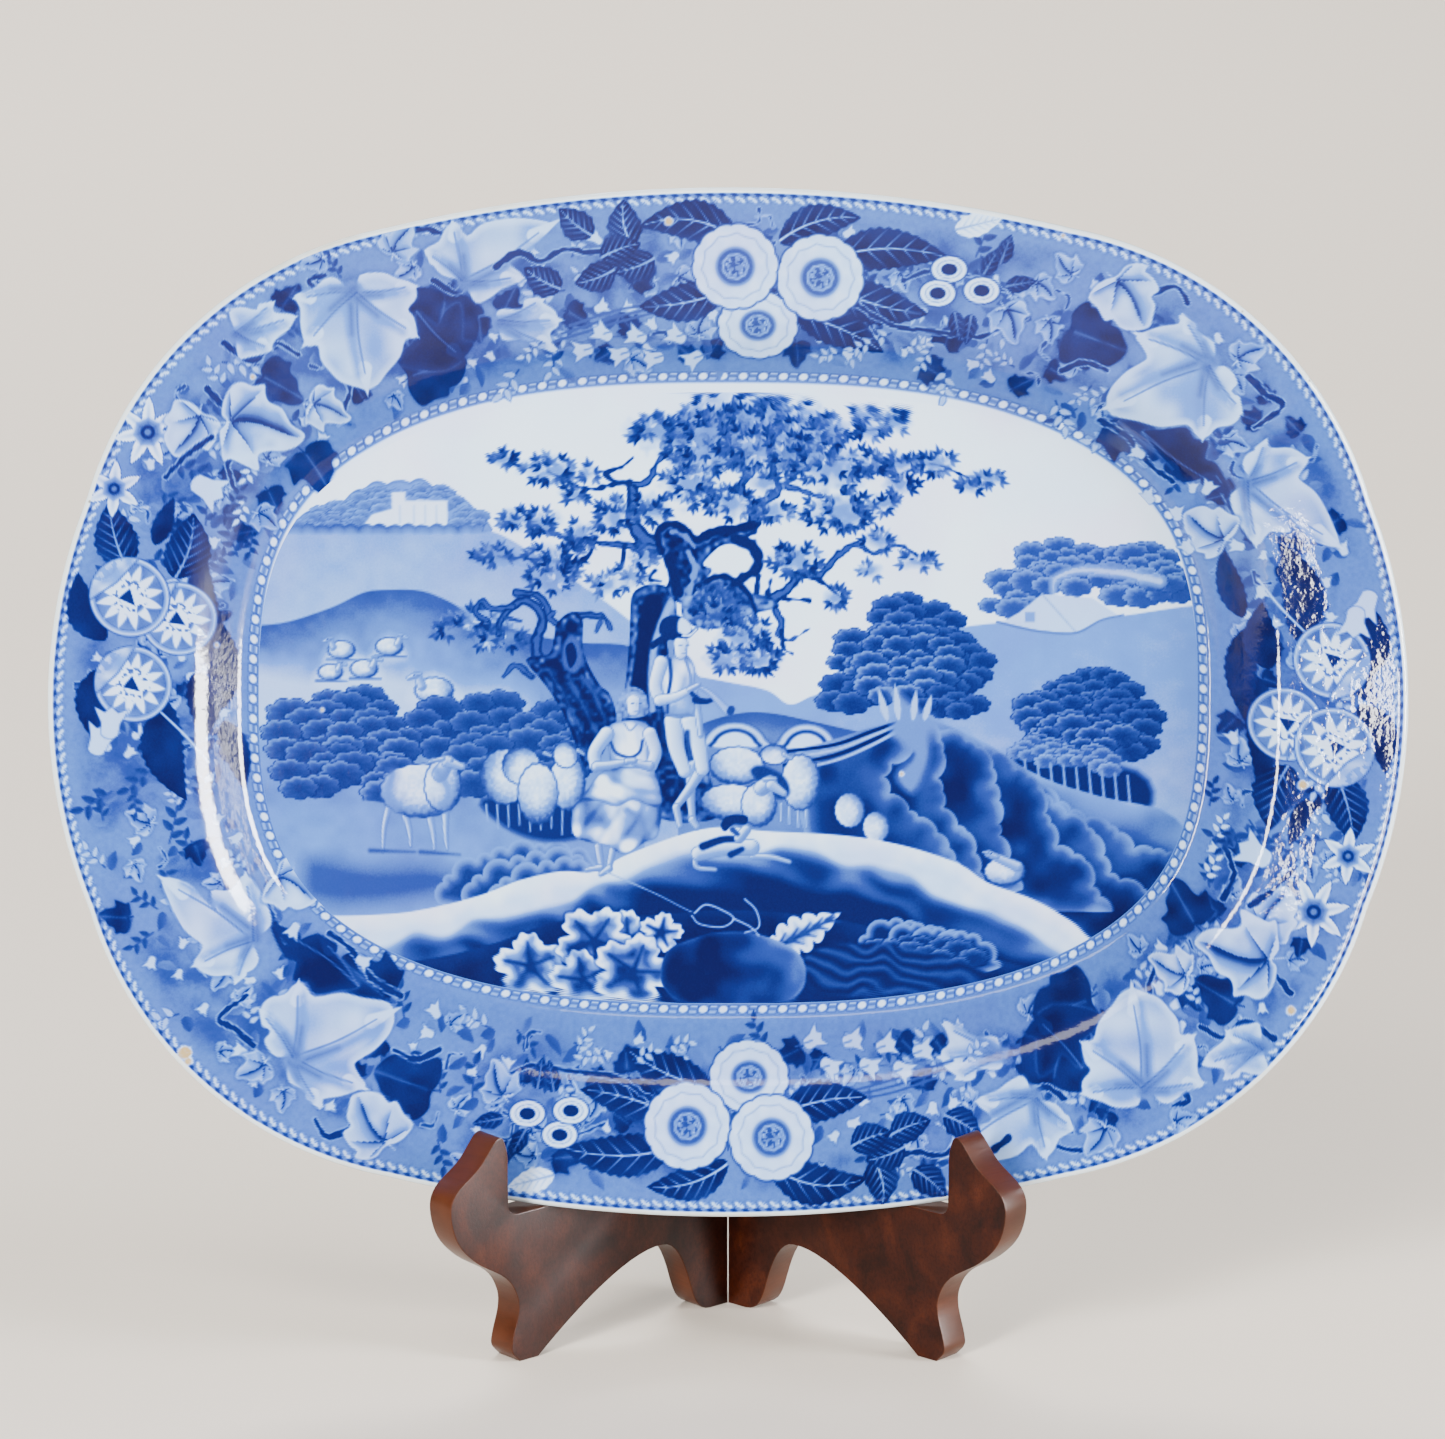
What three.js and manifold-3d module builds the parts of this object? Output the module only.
// A lobed earthenware serving platter, shown on its folding stand of two hinged wooden leaves.
// Millimetres, +Z up, the platter faces -Y and leans back, and the feet stand on Z = 0.
// The origin is on the floor, under the middle of the whole assembly.
import * as THREE from "three";
import { mergeVertices } from "three/addons/utils/BufferGeometryUtils.js";
import Module from "manifold-3d";

const wasm = await Module();
wasm.setup();

// Platter outline: eight shallow arcs, which meet in small nicks.
const PLATTER_LENGTH = 482;
const PLATTER_WIDTH = 366;
const LONG_LOBE_CHORD = 241.6;
const LONG_LOBE_RISE = 14.3;
const END_LOBE_CHORD = 144.8;
const END_LOBE_RISE = 14;
const CORNER_LOBE_RISE = 20.3;
const LOBE_STEPS = 12;
// The well follows a plain oval, a superellipse of this power; the nicks fade out towards it.
const OVAL_POWER = 2.5;
const NICK_FADE = 28;

// Platter section, measured inwards from the edge and upwards from the base.
const RIM_HEIGHT = 33.5;
const LIP_RADIUS = 2.2;
const LIP_STEPS = 6;
const FLANGE_WIDTH = 50;
const FLANGE_DROP = 8.6;
const SLOPE_RUN = 18;
const WALL = 5.6;
const FLOOR_THICKNESS = 6.5;
const SHOULDER_ROUND = 3;
const FLOOR_RING = 40;

// Stand: two leaves that open like a book, with the spine at the back.
const OPENING = THREE.MathUtils.degToRad(98);
const LEAF_THICKNESS = 12;
const SPINE_GAP = 0.3;
const REAR_FOOT = 8.5;
const HEEL_REACH = 10.2;
const HEEL_RISE = 12.5;
const ARCH_CREST = 31;
const ARCH_HEIGHT = 29;
const ARCH_FALL_NEAR = 15;
const ARCH_FALL_FAR = 18;
const ARCH_SWELL = 1.2;
const FRONT_FOOT_START = 89;
const FRONT_FOOT_END = 98;
const LEDGE_HEIGHT = 55.5;
const LEDGE_START = 48;
const HOOK_REACH = 103;
const HOOK_FILLET = 5;
const HOOK_RISE = 30.5;
const HOOK_NECK = 22;
const TOE_POINTS = [[3.5, 4], [3.3, 8.5], [0.6, 18], [1.2, 25], [6.3, 32.6]];
const BELLY_POINTS = [[14.4, -14.5], [23, -5.5], [26.3, 5.5], [23.8, 13.2], [13.6, 20.4], [7.6, 27]];
const HOOK_TIP_POINTS = [[5.5, -0.6], [2.4, 1], [1.4, -3]];
const UPRIGHT_TOP = 150;
const UPRIGHT_FILLET = 20;
const TOP_ROUND = 6;
const CURVE_STEPS = 4;

// How the platter sits on the leaves.
const LEAN = THREE.MathUtils.degToRad(10);
const LIP_TO_HOOK = 1.2;
const SEAT_GAP = 0.3;
const BACK_GAP = 0.4;

// Two brass butt hinges, let into the back edges of the leaves.
const HINGE_LENGTH = 32;
const LOWER_HINGE_BASE = 44;
const UPPER_HINGE_SETBACK = 18;
const KNUCKLES = 5;
const KNUCKLE_GAP = 0.3;
const BARREL_RADIUS = 2.7;
const PIN_RADIUS = 1.35;
const PIN_HEAD_RADIUS = 2.3;
const PIN_HEAD_HEIGHT = 0.9;
const PLATE_THICKNESS = 1.2;
const PLATE_MARGIN = 1.6;
const FIT = 0.3;
const ROUND_SIDES = 20;

// Countersunk brass screws, three to each hinge plate.
const SCREWS = 3;
const SCREW_END_MARGIN = 5.5;
const SCREW_HEAD_RADIUS = 2.1;
const SCREW_HEAD_DEPTH = 1.1;
const SCREW_SHANK_RADIUS = 1;
const SCREW_LENGTH = 7.5;
const SCREW_POINT = 2;
const SCREW_SLOT_WIDTH = 0.6;
const SCREW_SLOT_DEPTH = 0.45;
const SCREW_SIDES = 14;

const HALF_OPENING = OPENING / 2;
const LEAF_OUTER = SPINE_GAP + LEAF_THICKNESS;
const PLATE_REACH = LEAF_OUTER - PLATE_MARGIN;
const UPPER_HINGE_BASE = UPRIGHT_TOP - UPPER_HINGE_SETBACK - HINGE_LENGTH;

const GLAZE = new THREE.MeshStandardMaterial({ color: 0xb8cbe6, roughness: 0.12, metalness: 0 });
const WOOD = new THREE.MeshStandardMaterial({ color: 0x5a2412, roughness: 0.35, metalness: 0 });
const BRASS = new THREE.MeshStandardMaterial({ color: 0xb08d4a, roughness: 0.35, metalness: 1 });

// Turns a closed three.js geometry into a solid that can be joined and cut.
function solidOf(geometry) {
  const bare = geometry.clone();
  bare.deleteAttribute("normal");
  bare.deleteAttribute("uv");
  const merged = mergeVertices(bare, 1e-4);
  const vertProperties = new Float32Array(merged.attributes.position.array);
  const triVerts = new Uint32Array(merged.index.array);
  return new wasm.Manifold(new wasm.Mesh({ numProp: 3, vertProperties, triVerts }));
}

// Turns a solid back into a geometry.
function geometryOf(solid) {
  const result = solid.getMesh();
  const geometry = new THREE.BufferGeometry();
  geometry.setAttribute("position", new THREE.BufferAttribute(result.vertProperties, 3));
  geometry.setIndex(new THREE.BufferAttribute(result.triVerts, 1));
  geometry.computeVertexNormals();
  return geometry;
}

function block(low, high) {
  const box = new THREE.BoxGeometry(high.x - low.x, high.y - low.y, high.z - low.z);
  box.translate((low.x + high.x) / 2, (low.y + high.y) / 2, (low.z + high.z) / 2);
  return solidOf(box);
}

// A round post along Y between two heights.
function post(radius, bottom, top) {
  const cylinder = new THREE.CylinderGeometry(radius, radius, top - bottom, ROUND_SIDES);
  cylinder.translate(0, (bottom + top) / 2, 0);
  return solidOf(cylinder);
}

// A turned shape about Y from [radius, height] pairs that start and end on the axis.
function turned(profile, sides) {
  const points = profile.map(([radius, height]) => new THREE.Vector2(radius, height));
  return new THREE.LatheGeometry(points, sides);
}

function part(name, geometry, material) {
  const mesh = new THREE.Mesh(geometry, material);
  mesh.name = name;
  return mesh;
}

// ---- Platter ----

const nickAlongX = LONG_LOBE_CHORD / 2;
const nickAtY = PLATTER_WIDTH / 2 - LONG_LOBE_RISE;
const nickAtX = PLATTER_LENGTH / 2 - END_LOBE_RISE;
const nickAlongY = END_LOBE_CHORD / 2;

function lobeRadius(chord, rise) {
  return (chord * chord / 4 + rise * rise) / (2 * rise);
}

// Points along the arc from one nick to the next, without the second nick.
function lobe(from, to, rise) {
  const chord = from.distanceTo(to);
  const radius = lobeRadius(chord, rise);
  const outward = new THREE.Vector2(to.y - from.y, from.x - to.x).normalize();
  const centre = from.clone().lerp(to, 0.5).addScaledVector(outward, rise - radius);
  const start = Math.atan2(from.y - centre.y, from.x - centre.x);
  const sweep = 2 * Math.asin(chord / (2 * radius));
  const points = [];
  for (let i = 0; i < LOBE_STEPS; i++) {
    const angle = start + sweep * i / LOBE_STEPS;
    points.push(new THREE.Vector2(
      centre.x + radius * Math.cos(angle),
      centre.y + radius * Math.sin(angle),
    ));
  }
  return points;
}

// The whole edge, anticlockwise as seen from the front.
function platterEdge() {
  const nicks = [
    [nickAtX, -nickAlongY], [nickAtX, nickAlongY], [nickAlongX, nickAtY], [-nickAlongX, nickAtY],
    [-nickAtX, nickAlongY], [-nickAtX, -nickAlongY], [-nickAlongX, -nickAtY], [nickAlongX, -nickAtY],
  ].map(([x, y]) => new THREE.Vector2(x, y));
  const rises = [END_LOBE_RISE, CORNER_LOBE_RISE, LONG_LOBE_RISE, CORNER_LOBE_RISE];
  return nicks.flatMap((nick, i) => lobe(nick, nicks[(i + 1) % nicks.length], rises[i % rises.length]));
}

// The point of the plain oval in the same direction from the centre, and its inward normal.
function ovalUnder(point) {
  const a = PLATTER_LENGTH / 2;
  const b = PLATTER_WIDTH / 2;
  const size = Math.abs(point.x / a) ** OVAL_POWER + Math.abs(point.y / b) ** OVAL_POWER;
  const place = point.clone().multiplyScalar(size ** (-1 / OVAL_POWER));
  const slopeX = Math.sign(place.x) * Math.abs(place.x / a) ** (OVAL_POWER - 1) / a;
  const slopeY = Math.sign(place.y) * Math.abs(place.y / b) ** (OVAL_POWER - 1) / b;
  return { place, inward: new THREE.Vector2(-slopeX, -slopeY).normalize() };
}

// One closed ring of the platter's surface, at an inset from the edge and a height above the base.
function platterRing(edge, inset, height) {
  return edge.map((point) => {
    const { place, inward } = ovalUnder(point);
    const fade = THREE.MathUtils.smoothstep(inset, 0, NICK_FADE);
    const at = point.clone().lerp(place, fade).addScaledVector(inward, inset);
    return new THREE.Vector3(at.x, at.y, height);
  });
}

// Half of the platter cut open: [inset, height] from the middle of the base, round the lip, to the well.
function platterSection() {
  const shoulder = RIM_HEIGHT - FLANGE_DROP;
  const wellEdge = FLANGE_WIDTH + SLOPE_RUN;
  const lip = [];
  for (let i = 0; i <= LIP_STEPS; i++) {
    const angle = Math.PI * (i / LIP_STEPS - 0.5);
    lip.push([
      LIP_RADIUS * (1 - Math.cos(angle)),
      RIM_HEIGHT - LIP_RADIUS + LIP_RADIUS * Math.sin(angle),
    ]);
  }
  return [
    [wellEdge + FLOOR_RING, 0],
    [wellEdge - SHOULDER_ROUND, 0],
    [wellEdge - 1.7 * SHOULDER_ROUND, SHOULDER_ROUND],
    [FLANGE_WIDTH - SHOULDER_ROUND / 2, shoulder - WALL],
    [2 * LIP_RADIUS, RIM_HEIGHT - WALL],
    ...lip,
    [2.2 * LIP_RADIUS, RIM_HEIGHT - LIP_RADIUS / 2],
    [FLANGE_WIDTH - SHOULDER_ROUND, shoulder + SHOULDER_ROUND / 5],
    [FLANGE_WIDTH, shoulder - SHOULDER_ROUND / 6],
    [FLANGE_WIDTH + SHOULDER_ROUND, shoulder - SHOULDER_ROUND],
    [wellEdge - SHOULDER_ROUND, FLOOR_THICKNESS + SHOULDER_ROUND],
    [wellEdge, FLOOR_THICKNESS + SHOULDER_ROUND / 4],
    [wellEdge + SHOULDER_ROUND, FLOOR_THICKNESS],
    [wellEdge + FLOOR_RING, FLOOR_THICKNESS],
  ];
}

function platterGeometry() {
  const edge = platterEdge();
  const rings = platterSection().map(([inset, height]) => platterRing(edge, inset, height));
  const points = [new THREE.Vector3(0, 0, 0), ...rings.flat(), new THREE.Vector3(0, 0, FLOOR_THICKNESS)];
  const count = edge.length;
  const last = points.length - 1;
  const faces = [];
  for (let i = 0; i < count; i++) {
    const next = (i + 1) % count;
    faces.push(0, 1 + next, 1 + i);
    for (let ring = 0; ring < rings.length - 1; ring++) {
      const low = 1 + ring * count;
      const high = low + count;
      faces.push(low + i, low + next, high + next);
      faces.push(low + i, high + next, high + i);
    }
    const top = last - count;
    faces.push(top + i, top + next, last);
  }
  const geometry = new THREE.BufferGeometry().setFromPoints(points);
  geometry.setIndex(faces);
  geometry.computeVertexNormals();
  return geometry;
}

// ---- Where the platter sits ----

// How far the long side of the platter reaches from its middle, at a distance along it.
function longSide(along) {
  const radius = lobeRadius(LONG_LOBE_CHORD, LONG_LOBE_RISE);
  return PLATTER_WIDTH / 2 - radius + Math.sqrt(radius * radius - along * along);
}

// A place on a leaf: its run out from the spine and its depth into the thickness, seen from above.
function leafPlace(run, depth) {
  return {
    across: run * Math.sin(HALF_OPENING) + depth * Math.cos(HALF_OPENING),
    back: depth * Math.sin(HALF_OPENING) - run * Math.cos(HALF_OPENING),
  };
}

const hook = leafPlace(HOOK_REACH, LEAF_OUTER);
const lipBack = hook.back + LIP_TO_HOOK;
const seatBack = lipBack + longSide(hook.across) * Math.sin(LEAN) + RIM_HEIGHT * Math.cos(LEAN);
const restAcross = -lipBack * Math.tan(HALF_OPENING);
const lipLow = (longSide(restAcross) - LIP_RADIUS) * Math.cos(LEAN)
  - (RIM_HEIGHT - LIP_RADIUS) * Math.sin(LEAN) + LIP_RADIUS;
const seatHeight = LEDGE_HEIGHT + SEAT_GAP + lipLow;

// ---- Leaves ----

// How far a leaf may run out from the spine at a height, to stop just behind the platter's base.
function uprightRun(height) {
  const base = seatBack + (height - seatHeight) * Math.tan(LEAN) + BACK_GAP;
  return (SPINE_GAP * Math.sin(HALF_OPENING) - base) / Math.cos(HALF_OPENING);
}

// The leaf's outline: x runs out from the spine, y is the height.
function leafOutline() {
  const front = [
    ...TOE_POINTS.map(([run, height]) => new THREE.Vector2(FRONT_FOOT_END + run, height)),
    ...BELLY_POINTS.map(([run, height]) => new THREE.Vector2(HOOK_REACH + run, LEDGE_HEIGHT + height)),
  ];
  const tip = HOOK_TIP_POINTS.map(([run, height]) => [HOOK_REACH + run, LEDGE_HEIGHT + HOOK_RISE + height]);
  const hookNeck = LEDGE_HEIGHT + HOOK_NECK;
  const heel = REAR_FOOT + HEEL_REACH;
  const uprightFoot = LEDGE_HEIGHT + UPRIGHT_FILLET;
  const topRun = uprightRun(UPRIGHT_TOP - TOP_ROUND);
  const shape = new THREE.Shape();
  shape.moveTo(0, 0);
  shape.lineTo(REAR_FOOT, 0);
  shape.bezierCurveTo(
    REAR_FOOT + HEEL_REACH * 2 / 3, 0, heel - HEEL_REACH / 5, HEEL_RISE / 2, heel, HEEL_RISE,
  );
  shape.bezierCurveTo(
    heel + (ARCH_CREST - heel) / 5, (ARCH_HEIGHT + HEEL_RISE) / 2,
    (heel + ARCH_CREST) / 2, ARCH_HEIGHT, ARCH_CREST, ARCH_HEIGHT,
  );
  shape.bezierCurveTo(
    ARCH_CREST + ARCH_FALL_NEAR, ARCH_HEIGHT + ARCH_SWELL,
    FRONT_FOOT_START - ARCH_FALL_FAR, ARCH_HEIGHT / 2, FRONT_FOOT_START, 0,
  );
  shape.lineTo(FRONT_FOOT_END, 0);
  shape.splineThru(front);
  shape.bezierCurveTo(...tip[0], ...tip[1], ...tip[2]);
  shape.quadraticCurveTo(HOOK_REACH, hookNeck + 2, HOOK_REACH, hookNeck - 2);
  shape.lineTo(HOOK_REACH, LEDGE_HEIGHT + HOOK_FILLET);
  shape.quadraticCurveTo(HOOK_REACH, LEDGE_HEIGHT, HOOK_REACH - HOOK_FILLET, LEDGE_HEIGHT);
  shape.lineTo(LEDGE_START, LEDGE_HEIGHT);
  shape.quadraticCurveTo(
    uprightRun(LEDGE_HEIGHT), LEDGE_HEIGHT, uprightRun(uprightFoot), uprightFoot,
  );
  shape.lineTo(topRun, UPRIGHT_TOP - TOP_ROUND);
  shape.quadraticCurveTo(topRun, UPRIGHT_TOP, topRun / 2, UPRIGHT_TOP);
  shape.quadraticCurveTo(0, UPRIGHT_TOP, 0, UPRIGHT_TOP - TOP_ROUND);
  shape.closePath();
  return shape;
}

// In a leaf's own frame x runs out from the spine, y is up, and z times side goes into the wood.
function leafBlock(side, low, high) {
  const near = Math.min(side * low.z, side * high.z);
  const far = Math.max(side * low.z, side * high.z);
  return block({ ...low, z: near }, { ...high, z: far });
}

const HINGES = [
  { label: "lower", base: LOWER_HINGE_BASE },
  { label: "upper", base: UPPER_HINGE_BASE },
];

function screwHeights(base) {
  const pitch = (HINGE_LENGTH - 2 * SCREW_END_MARGIN) / (SCREWS - 1);
  return Array.from({ length: SCREWS }, (_, i) => base + SCREW_END_MARGIN + i * pitch);
}

// A screw's turned shape, grown all round by a clearance, with its head on the plate's face.
function screwShape(grow) {
  const headWidth = SCREW_HEAD_RADIUS + grow;
  const shank = SCREW_SHANK_RADIUS + grow;
  return turned([
    [0, -SCREW_LENGTH - grow], [shank / 3, -SCREW_LENGTH - grow], [shank, SCREW_POINT - SCREW_LENGTH],
    [shank, -SCREW_HEAD_DEPTH - grow / 2], [headWidth, -grow / 2], [headWidth, grow], [0, grow],
  ], SCREW_SIDES);
}

// Puts a turned screw shape across the thickness at a height, pointing out along the leaf.
function placeScrew(geometry, side, height) {
  geometry.rotateZ(Math.PI / 2);
  geometry.translate(FIT / 2, height, side * (LEAF_OUTER + BARREL_RADIUS) / 2);
  return geometry;
}

function leafSolid(side) {
  const board = new THREE.ExtrudeGeometry(leafOutline(), {
    depth: LEAF_THICKNESS, bevelEnabled: false, curveSegments: CURVE_STEPS,
  });
  board.translate(0, 0, side > 0 ? SPINE_GAP : -LEAF_OUTER);
  let solid = solidOf(board);
  for (const { base } of HINGES) {
    const top = base + HINGE_LENGTH;
    const head = PIN_HEAD_HEIGHT + 2 * FIT;
    const barrel = post(BARREL_RADIUS + FIT, base - head, top + head);
    const mortise = leafBlock(
      side,
      { x: -FIT, y: base - FIT, z: 0 },
      { x: PLATE_THICKNESS + FIT, y: top + FIT, z: PLATE_REACH + FIT },
    );
    solid = solid.subtract(barrel).subtract(mortise);
    for (const height of screwHeights(base)) {
      solid = solid.subtract(solidOf(placeScrew(screwShape(FIT), side, height)));
    }
  }
  return solid;
}

// ---- Hinges ----

// A plate with its own knuckles: the left plate has the first, third and fifth, the right the others.
function plateSolid(side, base) {
  const pitch = HINGE_LENGTH / KNUCKLES;
  const bore = PIN_RADIUS + FIT;
  let plate = leafBlock(
    side,
    { x: 0, y: base, z: BARREL_RADIUS + FIT },
    { x: PLATE_THICKNESS, y: base + HINGE_LENGTH, z: PLATE_REACH },
  );
  for (let i = side > 0 ? 0 : 1; i < KNUCKLES; i += 2) {
    const low = base + i * pitch + (i > 0 ? KNUCKLE_GAP / 2 : 0);
    const high = base + (i + 1) * pitch - (i < KNUCKLES - 1 ? KNUCKLE_GAP / 2 : 0);
    const root = leafBlock(
      side,
      { x: 0, y: low, z: bore },
      { x: PLATE_THICKNESS, y: high, z: BARREL_RADIUS + 2 * FIT },
    );
    plate = plate.add(post(BARREL_RADIUS, low, high)).add(root);
  }
  plate = plate.subtract(post(bore, base - FIT, base + HINGE_LENGTH + FIT));
  for (const height of screwHeights(base)) {
    plate = plate.subtract(solidOf(placeScrew(screwShape(FIT), side, height)));
  }
  return plate;
}

function pinGeometry(base) {
  const top = base + HINGE_LENGTH;
  const low = base - FIT;
  const high = top + FIT;
  return turned([
    [0, low - PIN_HEAD_HEIGHT], [PIN_HEAD_RADIUS * 0.7, low - PIN_HEAD_HEIGHT],
    [PIN_HEAD_RADIUS, low - PIN_HEAD_HEIGHT / 2], [PIN_HEAD_RADIUS, low], [PIN_RADIUS, low],
    [PIN_RADIUS, high], [PIN_HEAD_RADIUS, high], [PIN_HEAD_RADIUS, high + PIN_HEAD_HEIGHT / 2],
    [PIN_HEAD_RADIUS * 0.7, high + PIN_HEAD_HEIGHT], [0, high + PIN_HEAD_HEIGHT],
  ], ROUND_SIDES);
}

// A screw with a slot across its head.
function screwSolid(side, height, turn) {
  const slot = new THREE.BoxGeometry(3 * SCREW_HEAD_RADIUS, 2 * SCREW_SLOT_DEPTH, SCREW_SLOT_WIDTH);
  slot.rotateY(turn);
  const body = solidOf(placeScrew(screwShape(0), side, height));
  return body.subtract(solidOf(placeScrew(slot, side, height)));
}

// ---- Assembly ----

// A leaf with the hinge plates and screws that are fixed to it, turned about the spine.
function leafAssembly(label, side) {
  const upright = new THREE.Group();
  upright.rotation.x = Math.PI / 2;
  upright.add(part(label + "_leaf", geometryOf(leafSolid(side)), WOOD));
  for (const hinge of HINGES) {
    const name = label + "_" + hinge.label;
    upright.add(part(name + "_hinge_plate", geometryOf(plateSolid(side, hinge.base)), BRASS));
    screwHeights(hinge.base).forEach((height, i) => {
      const screw = screwSolid(side, height, (i + 1) * side);
      upright.add(part(name + "_screw_" + (i + 1), geometryOf(screw), BRASS));
    });
  }
  const swing = new THREE.Group();
  swing.rotation.z = 1.5 * Math.PI - side * HALF_OPENING;
  swing.add(upright);
  return swing;
}

const assembly = new THREE.Group();
const platter = part("platter", platterGeometry(), GLAZE);
platter.rotation.x = Math.PI / 2 - LEAN;
platter.position.set(0, seatBack, seatHeight);
assembly.add(platter);
assembly.add(leafAssembly("left", 1));
assembly.add(leafAssembly("right", -1));
for (const hinge of HINGES) {
  const pin = part(hinge.label + "_hinge_pin", pinGeometry(hinge.base), BRASS);
  pin.rotation.x = Math.PI / 2;
  assembly.add(pin);
}
assembly.updateMatrixWorld(true);
const middle = new THREE.Box3().setFromObject(assembly, true).getCenter(new THREE.Vector3());
assembly.position.y = -middle.y;

const root = new THREE.Group();
root.add(assembly);

export default root;
